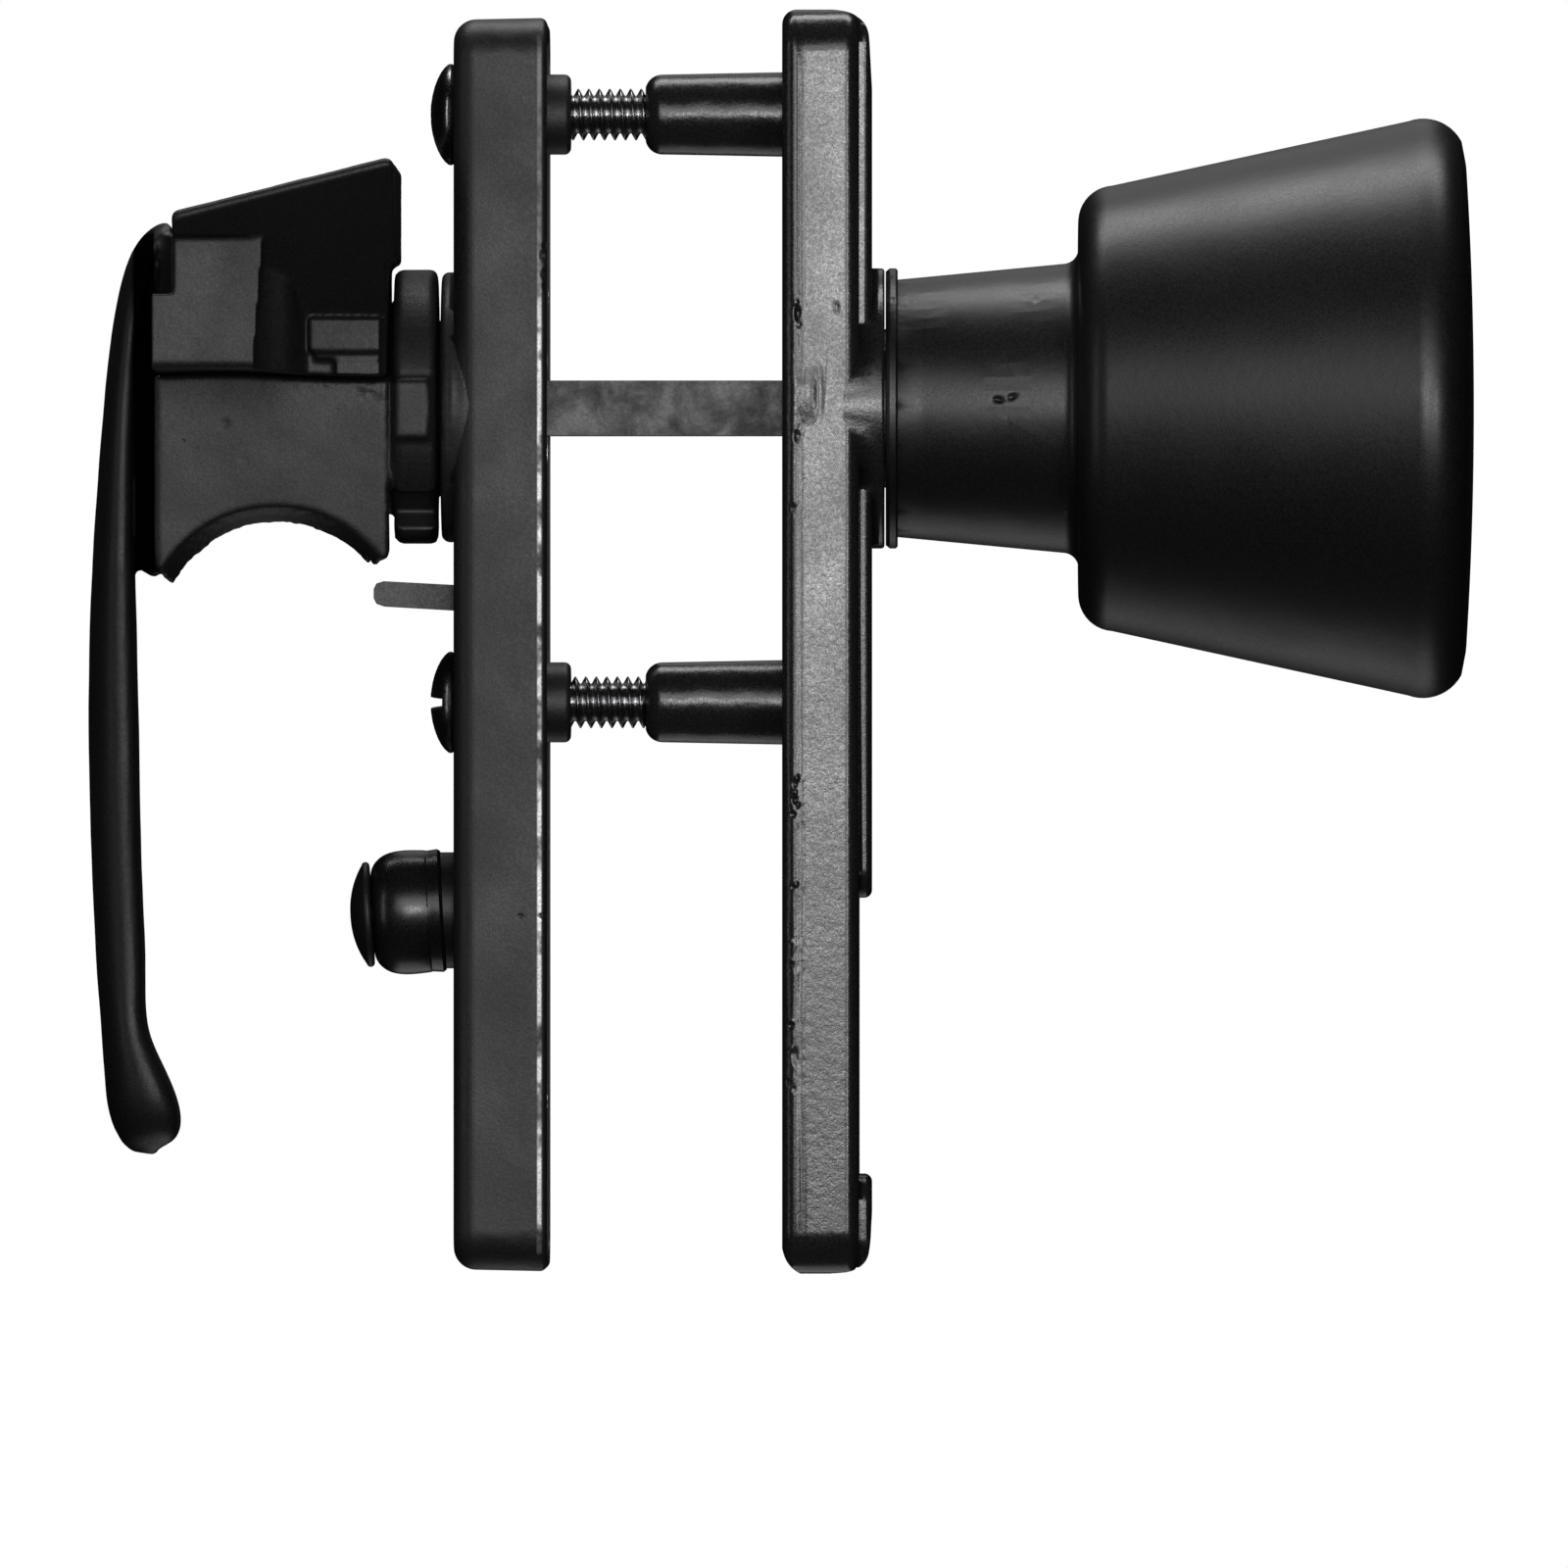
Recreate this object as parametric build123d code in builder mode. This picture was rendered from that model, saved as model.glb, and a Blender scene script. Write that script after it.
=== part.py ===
from build123d import *
import os
from math import sqrt, sin, cos, radians

os.makedirs("parts", exist_ok=True)

# ---------------------------------------------------------------------------
# Frame: origin on the spindle axis, in the plane where the inside plate meets
# the door. +X runs through the door to the outside knob, +Z is up. Lengths in
# millimetres.
# ---------------------------------------------------------------------------
hole_pitch = 44.45          # between the two mounting screws
screw_z = hole_pitch / 2
door_t = 17.7               # door thickness that the two halves close on

# inside plate
ip_top, ip_bot = 29.3, -65.15
ip_w = 21.0
ip_depth = 7.04
ip_corner = 3.2
ip_edge = 1.7
ip_wall_front = 1.64
ip_wall_side = 1.6
ip_boss_r, ip_boss_x = 10.3, 8.05
collar_r, collar_len = 3.04, 1.7
screw_clear_r = 2.16

peg_y, peg_z = 6.9, 8.87

# outside plate
op_top, op_bot = 29.92, -65.33
op_w = 21.0
op_x0 = door_t
op_base = 5.8
op_corner = 3.3
op_pad_w = 17.0
op_pad_h = 0.95
op_pad_gap_top, op_pad_gap_bot = -37.0, -57.9
op_boss_r, op_boss_x = 10.6, 25.4
op_cav = 3.7
post_tip_x = 7.3
post_r_base, post_r_tip = 3.22, 3.0
post_bore_r = 2.06

# bearings and spindle
hub_r = 6.5
hub_hole_r = 6.56
journal_r = 6.0
journal_hole_r = 6.06
sq = 4.15                   # spindle, across the flats
sq_socket = 4.31
spindle_x0, spindle_x1 = -20.0, 44.0

# latch head
head_half = 9.0
seam_z = 2.25
block_x0, block_x1 = -29.6, -11.9
scallop_x, scallop_z, scallop_r = -20.5, -17.55, 10.05
scallop_crown = 1.0         # the scallop swells by this much at its middle
neck_x = -11.6
flange_r, flange_x1 = 10.5, -8.35
lug_z0, lug_z1 = -2.5, 2.0
nose_tip_y = 22.0
nose_slope = 1.1            # inward run of the beak's underside for each mm down
nose_rim = 0.65

# lock
lock_travel = 4.6
tab_w, tab_t = 3.6, 1.85
tab_z1 = -13.45             # upper side of the tab, unlocked
tab_x = -13.2
tab_drop = 0.45             # the tab is bent a little: its root lies lower than its tip
slide_x0, slide_t = -5.3, 1.7
slide_w = 12.0
button_z = -37.95
button_tilt = 3.2           # the worn button hangs, its free end lower, in degrees
button_x = -7.95            # where the button meets its washer
stem_r = 1.55

# mounting screws, number 8
screw_r = 2.0
screw_len = 25.4
head_r, head_h = 3.85, 1.62

# knob
knob_flange_x0, knob_flange_x1 = 25.6, 26.4
knob_bore_r = 8.32
face_r = 18.6

# lever centre line, thickness and width, top to bottom: x, z, t, w
lever_path = [
    (-28.55, 13.7, 0.9, 12.6), (-29.45, 13.05, 1.6, 13.4), (-30.42, 11.75, 1.95, 13.9), (-31.17, 9.7, 2.1, 14.0),
    (-31.97, 5.4, 2.15, 14.0), (-32.67, -3.2, 2.5, 14.0), (-32.92, -10.15, 2.95, 13.8), (-33, -16.4, 3.38, 13.3),
    (-32.94, -25.3, 3.68, 12.5), (-32.69, -35.6, 3.62, 12.1), (-32.37, -43.05, 3.5, 12.4), (-32.1, -47.2, 3.45, 13.0),
    (-31.57, -49.7, 4.2, 13.7), (-30.97, -51.9, 4.95, 13.9), (-30.47, -53.7, 5.05, 13.0), (-30.42, -55.2, 4.1, 9.5),
    (-30.57, -56.3, 1.8, 4.0),
]


# handle return spring
spring_wire_r = 0.38
spring_r = hub_r + 0.15 + spring_wire_r
spring_pitch = 0.8
spring_xa = -(ip_depth - ip_wall_front) + 0.03 + 0.5 + 0.05 + spring_wire_r


# Planes that look along -X from a given X, drawn with +Z up
def inward(x):
    return Plane(origin=(x, 0, 0), x_dir=(0, -1, 0), z_dir=(-1, 0, 0))


def outward(x):
    return Plane(origin=(x, 0, 0), x_dir=(0, 1, 0), z_dir=(1, 0, 0))


# ---------------------------------------------------------------------------
# INSIDE HALF
# ---------------------------------------------------------------------------
ip_len = ip_top - ip_bot
ip_mid = (ip_top + ip_bot) / 2
ip_floor = -(ip_depth - ip_wall_front)      # inner side of the front wall

# Cast box plate, open at the back, with a round bearing boss in front, two
# screw sleeves that stand proud of the back, and slots for the lock
with BuildPart() as inside_escutcheon:
    with BuildSketch(inward(0)):
        with Locations((0, ip_mid)):
            RectangleRounded(ip_w, ip_len, ip_corner)
    extrude(amount=ip_depth, taper=1.2)
    fillet(inside_escutcheon.faces().sort_by(Axis.X)[0].edges(), ip_edge)
    fillet(inside_escutcheon.faces().sort_by(Axis.X)[-1].edges(), 0.55)
    # bearing boss, a little wider than the flat of the plate
    with BuildSketch(inward(-4.4)):
        Circle(ip_boss_r)
    extrude(amount=ip_boss_x - 4.4)
    fillet(inside_escutcheon.faces().sort_by(Axis.X)[0].edges(), 0.55)
    # cavity
    with BuildSketch(inward(0)):
        with Locations((0, ip_mid)):
            RectangleRounded(ip_w - 2 * ip_wall_side, ip_len - 2 * ip_wall_side, ip_corner - ip_wall_side)
    extrude(amount=-ip_floor, mode=Mode.SUBTRACT)
    # screw sleeves, from the front wall to past the door face
    with BuildSketch(outward(ip_floor - 0.2)):
        with Locations((0, screw_z), (0, -screw_z)):
            Circle(collar_r)
    extrude(amount=collar_len - ip_floor + 0.2)
    fillet(inside_escutcheon.faces().sort_by(Axis.X)[-2:].edges(), 0.5)
    # pegs that carry the back plate; one of the upper two also stops the spring's leg
    with BuildSketch(outward(ip_floor - 0.2)):
        with Locations((peg_y, peg_z), (-peg_y, peg_z), (0, -52)):
            Circle(1.35)
    extrude(amount=-ip_floor + 0.2 - 1.0)
    with BuildSketch(outward(-1.1)):
        with Locations((peg_y, peg_z), (-peg_y, peg_z), (0, -52)):
            Circle(0.85)
    extrude(amount=0.95)
    # bearing hole
    with BuildSketch(inward(-4)):
        Circle(hub_hole_r)
    extrude(amount=6, mode=Mode.SUBTRACT)
    # screw holes
    with BuildSketch(inward(4)):
        with Locations((0, screw_z), (0, -screw_z)):
            Circle(screw_clear_r)
    extrude(amount=14, mode=Mode.SUBTRACT)
    # slot for the lock tab, cut through the boss
    tab_slot_top = tab_z1 + lock_travel + 0.25
    tab_slot_bot = tab_z1 - tab_t - 0.35
    with BuildSketch(inward(-4)):
        with Locations((0, (tab_slot_top + tab_slot_bot) / 2)):
            Rectangle(tab_w + 0.5, tab_slot_top - tab_slot_bot)
    extrude(amount=6, mode=Mode.SUBTRACT)
    # slot for the button's stem
    with BuildSketch(inward(-4)):
        with Locations((0, button_z + lock_travel / 2)):
            SlotOverall(lock_travel + 2 * stem_r + 0.4, 2 * stem_r + 0.4, rotation=90)
    extrude(amount=6, mode=Mode.SUBTRACT)

# Lever, web, block, tenon, flange and hub in one casting
with BuildPart() as latch_handle:
    # lever: sections square to its centre line, from the top curl to the bulb
    for i, (cx, cz, t, w) in enumerate(lever_path):
        px, pz = lever_path[max(i - 1, 0)][:2]
        nx, nz = lever_path[min(i + 1, len(lever_path) - 1)][:2]
        with BuildSketch(Plane(origin=(cx, 0, cz), x_dir=(0, 1, 0), z_dir=(nx - px, 0, nz - pz))):
            a, e, d, lv = w / 2, 0.26 * t, 0.74 * t, 0.24 * t
            with BuildLine():
                Bezier((-a, lv), (-a, lv - 0.60 * d), (-0.62 * a, lv - d), (0, lv - d))
                Bezier((0, lv - d), (0.62 * a, lv - d), (a, lv - 0.60 * d), (a, lv))
                Bezier((a, lv), (a, lv + 0.6 * e), (a - 0.4 * e, lv + e), (a - e, lv + e))
                Line((a - e, lv + e), (-a + e, lv + e))
                Bezier((-a + e, lv + e), (-a + 0.4 * e, lv + e), (-a, lv + 0.6 * e), (-a, lv))
            make_face()
    loft()
    # web between lever and block, waisted so that a deep groove shows on each side
    with BuildPart(mode=Mode.PRIVATE) as web:
        with BuildSketch(Plane.XZ):
            with BuildLine():
                Polyline((-31.9, 8.05), (-29.68, 8.05), (-29.68, seam_z - 0.1), (-29.3, seam_z - 0.1), (-29.3, -12.2),
                         (-29.9, -12.75), (-31.2, -12.0), (-32.3, -12.1), (-31.9, 8.05))
            make_face()
            with BuildLine():
                Polyline((-31.5, 8.0), (-29.7, 8.0), (-29.7, 8.35), (-28.05, 8.35), (-28.05, 12.9), (-29.0, 13.1), (-30.6, 10.6),
                         (-31.5, 8.0))
            make_face()
        extrude(amount=8.5, both=True)
        with BuildSketch(Plane.XY.offset(-20)):
            with BuildLine():
                Polyline((-32.9, -0.6), (-28.0, -8.2), (-28.0, 8.2), (-32.9, 0.6), (-32.9, -0.6))
            make_face()
        extrude(amount=40, mode=Mode.INTERSECT)
    add(web.part)
    # block with its finger scallop
    with BuildSketch(Plane.XZ):
        with BuildLine():
            Polyline((block_x0, seam_z), (block_x1, seam_z), (block_x1, -11.0), (-12.15, -11.5), (-12.75, -11.6),
                     (-13.6, -14.0), (-27.3, -14.0), (-28.8, -13.0), (-29.45, -12.0), (block_x0, -10.5),
                     (block_x0, seam_z))
        make_face()
    extrude(amount=head_half, both=True)
    fillet(latch_handle.edges().filter_by(Axis.Z).filter_by(
        lambda e: abs(abs(e.center().Y) - head_half) < 0.01 and e.length > 10), 0.35)
    with BuildSketch(Plane(origin=(scallop_x, 0, scallop_z), x_dir=(0, 1, 0), z_dir=(1, 0, 0))):
        with BuildLine():
            Spline((-9.6, scallop_r + 0.2), (-8.95, scallop_r - 0.02), (-8.2, scallop_r - 0.36), (-5.5, scallop_r - 0.78),
                   (0, scallop_r - scallop_crown), (5.5, scallop_r - 0.78), (8.2, scallop_r - 0.36), (8.95, scallop_r - 0.02),
                   (9.6, scallop_r + 0.2))
            Polyline((9.6, scallop_r + 0.2), (9.6, 0), (-9.6, 0), (-9.6, scallop_r + 0.2))
        make_face()
    revolve(axis=Axis((scallop_x, 0, scallop_z), (0, 1, 0)), mode=Mode.SUBTRACT)
    # tenon that the nose sits over
    with BuildSketch(Plane.XY.offset(seam_z - 0.5)):
        with Locations(((-27.0 - 14.5) / 2, 0)):
            RectangleRounded(12.5, 9.0, 0.8)
    extrude(amount=8.25 + 0.5)
    # flange, neck and hub, turned about the spindle axis
    with BuildSketch(Plane.XZ):
        with BuildLine():
            Polyline((-11.94, 0), (-11.94, 8.0), (neck_x, 8.0), (neck_x, 10.1), (neck_x + 0.4, flange_r),
                     (flange_x1 - 0.35, flange_r), (flange_x1, 10.15), (flange_x1, hub_r), (-3.0, hub_r),
                     (-3.0, 5.75), (-2.3, 5.75), (-2.3, hub_r), (-1.85, hub_r), (-1.6, hub_r - 0.25), (-1.6, 0),
                     (-11.94, 0))
        make_face()
    revolve(axis=Axis.X)
    # flat lugs on both sides of the flange, with a groove above and below each
    with BuildSketch(Plane.XZ):
        with Locations(((neck_x + 0.15 - 8.9) / 2, (lug_z0 + lug_z1) / 2)):
            Rectangle(-8.9 - neck_x - 0.15, lug_z1 - lug_z0)
    extrude(amount=10.75, both=True)
    for gz, gw in ((lug_z1 + 0.22, 0.44), (lug_z0 - 0.16, 0.32)):
        for sgn in (1, -1):
            with BuildSketch(Plane.XZ.offset(sgn * 9.4 if sgn > 0 else -11.4)):
                with Locations(((neck_x - 8.35) / 2, gz)):
                    Rectangle(3.6, gw)
            extrude(amount=2.0, mode=Mode.SUBTRACT)
    # three lock notches in the flange
    for a in (-40, 0, 40):
        with BuildSketch(outward(neck_x - 0.02)):
            with Locations(Location((0, 0, 0), (0, 0, 1), a)):
                with Locations((0, -10.4)):
                    Rectangle(tab_w + 0.6, 4.0)
        extrude(amount=flange_x1 - neck_x + 0.02, mode=Mode.SUBTRACT)
    # relief for the lock tab in the plate side of the block
    with BuildSketch(Plane.XZ.offset(-9.5)):
        with BuildLine():
            Polyline((-13.45, -5.2), (neck_x - 0.05, -5.2), (neck_x - 0.05, -13), (-13.45, -13), (-13.45, -5.2))
        make_face()
    extrude(amount=15.7, mode=Mode.SUBTRACT)
    # the neck behind the flange, put back where the relief crossed it
    with BuildSketch(outward(-13.5)):
        Circle(8.0)
        with Locations((0, 10 + seam_z - 0.05)):
            Rectangle(20, 20, mode=Mode.SUBTRACT)
    extrude(amount=2.0)
    # hole for the spring's inner leg
    with BuildSketch(Plane.XZ.offset(-7.0)):
        with Locations((spring_xa + 1.25 * spring_pitch, 0)):
            Circle(0.5)
    extrude(amount=2.0, mode=Mode.SUBTRACT)
    # square socket for the spindle
    with BuildSketch(inward(-1.0)):
        Rectangle(sq_socket, sq_socket)
    extrude(amount=-spindle_x0 - 1.0 + 0.5, mode=Mode.SUBTRACT)

# Hooked nose: a separate casting that sits over the tenon
ramp_l = (-27.9, 14.32)
ramp_r = (-11.3, 18.5)
d1 = Vector(ramp_r[0] - ramp_l[0], 0, ramp_r[1] - ramp_l[1])
d2 = Vector(0, nose_slope, -1)
under_n = d1.cross(d2).normalized()
if under_n.Z < 0:
    under_n = under_n * -1
with BuildPart() as latch_nose:
    with BuildSketch(Plane.XZ.offset(-head_half)):
        with BuildLine():
            Polyline((-29.5, seam_z + 0.14), (-29.5, 8.2), (ramp_l[0], 8.2), (ramp_l[0], ramp_l[1]), (ramp_r[0], ramp_r[1]),
                     (-11.3, 11.1), (-12.0, 10.7), (-12.0, seam_z + 0.14), (-29.5, seam_z + 0.14))
        make_face()
        fillet(vertices().sort_by(Axis.Y)[-2:], 0.6)
    extrude(amount=head_half + nose_tip_y)
    # rounded rim along the ramp, the catch edge and the far side
    front = latch_nose.faces().sort_by(Axis.Y)[0]
    back = latch_nose.faces().sort_by(Axis.Y)[-1]
    fillet(front.edges().filter_by(lambda e: e.center().Z > 15) + back.edges().filter_by(lambda e: e.center().Z > 15), 0.5)
    # underside of the beak: one inclined plane from the rim inwards
    split(bisect_by=Plane(origin=(ramp_l[0], -nose_tip_y, ramp_l[1] - nose_rim), z_dir=under_n), keep=Keep.TOP)
    # square shoulder under the low end of the beak: its upper edge is level
    with BuildSketch(Plane.XZ.offset(19.0)):
        with BuildLine():
            Polyline((-30, seam_z), (-30, 12.55), (-21.1, 12.55), (-21.1, seam_z), (-30, seam_z))
        make_face()
    extrude(amount=4, mode=Mode.SUBTRACT)
    with BuildSketch(Plane.XZ.offset(-head_half)):
        with BuildLine():
            Polyline((-29.5, seam_z + 0.14), (-29.5, 8.2), (ramp_l[0], 8.2), (ramp_l[0], 12.55), (-21.1, 12.55),
                     (-21.85, seam_z + 0.14), (-29.5, seam_z + 0.14))
        make_face()
    extrude(amount=head_half + 19.0)
    # coved body between the shoulder and the pad
    with BuildSketch(Plane.XY.offset(seam_z + 0.14)):
        with BuildLine():
            l1 = Line((-22.5, 9.0), (-22.5, -18.8))
            a1 = Line(l1 @ 1, (-21.9, -18.8))
            a2 = Spline((-21.9, -18.8), (-21.45, -17.0), (-20.4, -15.9), (-19.3, -15.0), (-18.6, -13.0), (-17.9, -11.6))
            l2 = Line((-17.9, -11.6), (-17.6, 9.0))
            l3 = Line((-17.6, 9.0), (-22.5, 9.0))
        make_face()
    extrude(amount=8.2)
    with BuildSketch(Plane.XY.offset(seam_z + 0.14)):
        with BuildLine():
            Polyline((-18.2, 9.0), (-18.2, -11.7), (-12.9, -11.7), (-12.05, -10.6), (-12.05, 9.0), (-18.2, 9.0))
        make_face()
    extrude(amount=4.0)
    # raised pad on the near face, a ledge and a thin step under it
    for x0, z0, z1, reach in ((-17.85, 4.05, 6.5, 3.6), (-17.35, 3.45, 3.85, 3.3), (-15.9, 2.45, 3.28, 3.35)):
        with BuildSketch(Plane.XZ.offset(9.0)):
            with Locations(((x0 - 12.5) / 2, (z0 + z1) / 2)):
                Rectangle(-12.5 - x0, z1 - z0)
        extrude(amount=reach)
    # pocket over the tenon
    with BuildSketch(Plane.XY.offset(0)):
        with Locations(((-27.0 - 14.5) / 2, 0)):
            RectangleRounded(12.7, 9.2, 0.9)
    extrude(amount=10.62, mode=Mode.SUBTRACT)
    # hole for the pin, from the far side
    with BuildSketch(Plane.XZ.offset(-9.5)):
        with Locations((-20.75, 6.6)):
            Circle(1.22)
    extrude(amount=6, mode=Mode.SUBTRACT)

# the same hole in the tenon
with latch_handle:
    with BuildSketch(Plane.XZ.offset(-5.0)):
        with Locations((-20.75, 6.6)):
            Circle(1.22)
    extrude(amount=8.2, mode=Mode.SUBTRACT)

# Drive pin that holds the nose on the tenon
with BuildPart() as nose_pin:
    with BuildSketch(Plane.XZ.offset(-8.8)):
        with Locations((-20.75, 6.6)):
            Circle(1.2)
    extrude(amount=11.8)
    chamfer(nose_pin.edges().filter_by(GeomType.CIRCLE), 0.25)

# Thrust washer between the plate's floor and the spring
with BuildPart() as hub_washer:
    with BuildSketch(outward(ip_floor + 0.03)):
        Circle(8.35)
        Circle(hub_r + 0.06, mode=Mode.SUBTRACT)
    extrude(amount=0.5)

# Snap ring in the hub's groove
with BuildPart() as hub_retaining_ring:
    with BuildSketch(outward(-2.97)):
        Circle(8.0)
        Circle(5.8, mode=Mode.SUBTRACT)
        with Locations((0, -8)):
            Rectangle(5.0, 8.0, mode=Mode.SUBTRACT)
    extrude(amount=0.64)

# Return spring round the hub: one leg stops under a peg, the other is bent
# into a hole in the hub. Opening the latch winds the coil tighter
with BuildPart() as handle_return_spring:
    coil = Helix(pitch=spring_pitch, height=1.25 * spring_pitch, radius=spring_r, center=(spring_xa, 0, 0),
                 direction=(1, 0, 0), lefthand=True)
    with BuildSketch(Plane(origin=coil @ 0, z_dir=coil % 0)):
        Circle(spring_wire_r)
    sweep(path=coil, is_frenet=True)
    with BuildSketch(Plane(origin=coil @ 0, z_dir=(coil % 0) * -1)):
        Circle(spring_wire_r)
    extrude(amount=8.0)
    with BuildSketch(Plane.XZ.offset(-(coil @ 1).Y - 0.2)):
        with Locations(((coil @ 1).X, (coil @ 1).Z)):
            Circle(spring_wire_r - 0.01)
    extrude(amount=1.75)

# Sheet back plate that keeps the mechanism in; the pegs are staked over it
with BuildPart() as inside_back_plate:
    with BuildSketch(outward(-1.0)):
        with Locations((0, ip_mid)):
            RectangleRounded(ip_w - 2 * ip_wall_side - 0.3, ip_len - 2 * ip_wall_side - 0.3, 1.4)
        Circle(4.2, mode=Mode.SUBTRACT)
        with Locations((0, screw_z), (0, -screw_z)):
            Circle(collar_r + 0.15, mode=Mode.SUBTRACT)
        with Locations((peg_y, peg_z), (-peg_y, peg_z), (0, -52)):
            Circle(0.92, mode=Mode.SUBTRACT)
    extrude(amount=0.9)

# Lock slide: a flat strip that straddles the lower screw sleeve, with the
# blocking tab bent out through the front
slide_x1 = slide_x0 + slide_t
slide_bot = -44.0
with BuildPart() as lock_slide:
    with BuildSketch(outward(slide_x0)):
        with Locations((0, (tab_z1 + slide_bot) / 2)):
            RectangleRounded(slide_w, tab_z1 - slide_bot, 0.8)
        with Locations((0, (-screw_z + 3.3 - screw_z - lock_travel - 3.3) / 2)):
            SlotOverall(6.6 + lock_travel, 6.6, rotation=90, mode=Mode.SUBTRACT)
    extrude(amount=slide_t)
    with BuildSketch(Plane.XZ):
        with BuildLine():
            tz = tab_z1 + 0.37
            Polyline((slide_x1 - 0.4, tz - tab_drop), (tab_x + 0.75, tz), (tab_x + 0.2, tz - 0.18), (tab_x, tz - 0.6),
                     (tab_x, tz - 1.3), (tab_x + 0.2, tz - 1.7), (tab_x + 0.75, tz - tab_t - 0.04),
                     (slide_x1 - 0.4, tz - tab_drop - tab_t - 0.08), (slide_x1 - 0.4, tz - tab_drop))
        make_face()
    extrude(amount=tab_w / 2, both=True)
    # hole for the stem and two dimples for the detent
    with BuildSketch(outward(slide_x0 - 1)):
        with Locations((0, button_z)):
            Circle(1.15)
    extrude(amount=4, mode=Mode.SUBTRACT)
    with BuildSketch(outward(slide_x1 - 0.45)):
        with Locations((3.9, -36.0), (3.9, -36.0 - lock_travel)):
            Circle(1.15)
    extrude(amount=1.0, mode=Mode.SUBTRACT)

# Button sleeve, bulging towards its free end, turned about the tilted axis
tilted = Axis((button_x, 0, button_z), (cos(radians(button_tilt)), 0, sin(radians(button_tilt))))
tilted_plane = Plane(origin=(button_x, 0, button_z), x_dir=tilted.direction, z_dir=(0, -1, 0))
with BuildPart() as lock_button:
    with BuildSketch(tilted_plane):
        with BuildLine():
            bl = Line((-5.35, stem_r + 0.03), (-5.35, 2.9))
            bs = Spline((-5.35, 2.9), (-5.1, 3.72), (-4.35, 4.38), (-3.25, 4.67), (-2.2, 4.69), (-1.1, 4.60), (-0.23, 4.66),
                        tangents=((0, 1), (1, 0.1)))
            Polyline((-0.23, 4.66), (0, 4.5), (0, stem_r + 0.03), (-5.35, stem_r + 0.03))
        make_face()
    revolve(axis=tilted)

# Washer between button and plate, pressed to a wedge by the leaning button
with BuildPart() as button_washer:
    with BuildSketch(outward(-8.6)):
        with Locations((0, button_z)):
            Circle(4.4)
            Circle(stem_r + 0.12, mode=Mode.SUBTRACT)
    extrude(amount=8.6 - 7.1)
    split(bisect_by=Plane(origin=(button_x + 0.03, 0, button_z), z_dir=tilted.direction), keep=Keep.TOP)

# Rivet through the button: its domed head and upper shank lean with the
# button, its lower shank is straight and peened on the slide
with BuildPart() as lock_stem:
    with BuildSketch(tilted_plane):
        with BuildLine():
            ThreePointArc((-7.05, 0), (-6.7, 2.3), (-6.0, 3.75))
            ThreePointArc((-6.0, 3.75), (-5.7, 3.98), (-5.41, 3.75))
            Polyline((-5.41, 3.75), (-5.41, stem_r), (0.35, stem_r), (0.35, 0), (-7.05, 0))
        make_face()
    revolve(axis=tilted)
    with BuildSketch(Plane(origin=(0, 0, button_z), x_dir=(1, 0, 0), z_dir=(0, -1, 0))):
        with BuildLine():
            Polyline((button_x - 0.3, 0), (button_x - 0.3, stem_r - 0.15), (slide_x0 - 0.04, stem_r - 0.15), (slide_x0 - 0.04, 1.12),
                     (slide_x1 + 0.02, 1.12), (slide_x1 + 0.02, 1.7), (slide_x1 + 0.35, 1.25), (slide_x1 + 0.35, 0),
                     (button_x - 0.3, 0))
        make_face()
    revolve(axis=Axis((0, 0, button_z), (1, 0, 0)))

# Leaf detent: held on the back plate at its foot, its crest in a dimple
with BuildPart() as lock_detent_spring:
    with BuildSketch(Plane.XZ.offset(-3.9)):
        with BuildLine():
            c1 = Polyline((-1.05, -49.5), (-1.05, -45.5))
            c2 = Spline((-1.05, -45.5), (-1.5, -42.0), (-3.1, -37.2), (-3.5, -36.0), (-3.1, -34.8), (-2.0, -32.2),
                        (-1.4, -31.2), tangents=((0, 1), (0.4, 1)))
            c3 = Line((-1.4, -31.2), (-1.64, -31.0))
            c4 = Spline((-1.64, -31.0), (-2.25, -32.1), (-3.35, -34.8), (-3.75, -36.0), (-3.35, -37.3), (-1.76, -42.05),
                        (-1.3, -45.5), tangents=((-0.4, -1), (0, -1)))
            c5 = Polyline((-1.3, -45.5), (-1.3, -49.5), (-1.05, -49.5))
        make_face()
    extrude(amount=0.6, both=True)

# Two number 8 round-head screws: one solid each, threads run in the posts
with BuildPart() as mounting_screws:
    for sz, turn in ((screw_z, 62), (-screw_z, 0)):
        with BuildSketch(Plane(origin=(0, 0, sz), x_dir=(1, 0, 0), z_dir=(0, -1, 0))):
            with BuildLine():
                ThreePointArc((-7.09 - head_h - 0.24, 0), (-8.42, 2.55), (-7.35, head_r))
                Polyline((-7.35, head_r), (-7.09, head_r - 0.05), (-7.09, screw_r), (-7.09 + screw_len - 0.9, screw_r),
                         (-7.09 + screw_len, screw_r - 0.7), (-7.09 + screw_len, 0), (-7.09 - head_h - 0.24, 0))
            make_face()
        revolve(axis=Axis((0, 0, sz), (1, 0, 0)))
    for sz, turn in ((screw_z, 62), (-screw_z, 0)):
        with BuildSketch(inward(-7.09 - 0.85)):
            with Locations(Location((0, sz, 0), (0, 0, 1), turn)):
                Rectangle(9.0, 0.85)
        extrude(amount=3.0, mode=Mode.SUBTRACT)

# ---------------------------------------------------------------------------
# OUTSIDE HALF
# ---------------------------------------------------------------------------
op_len = op_top - op_bot
op_mid = (op_top + op_bot) / 2
op_floor = op_x0 + op_cav

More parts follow.
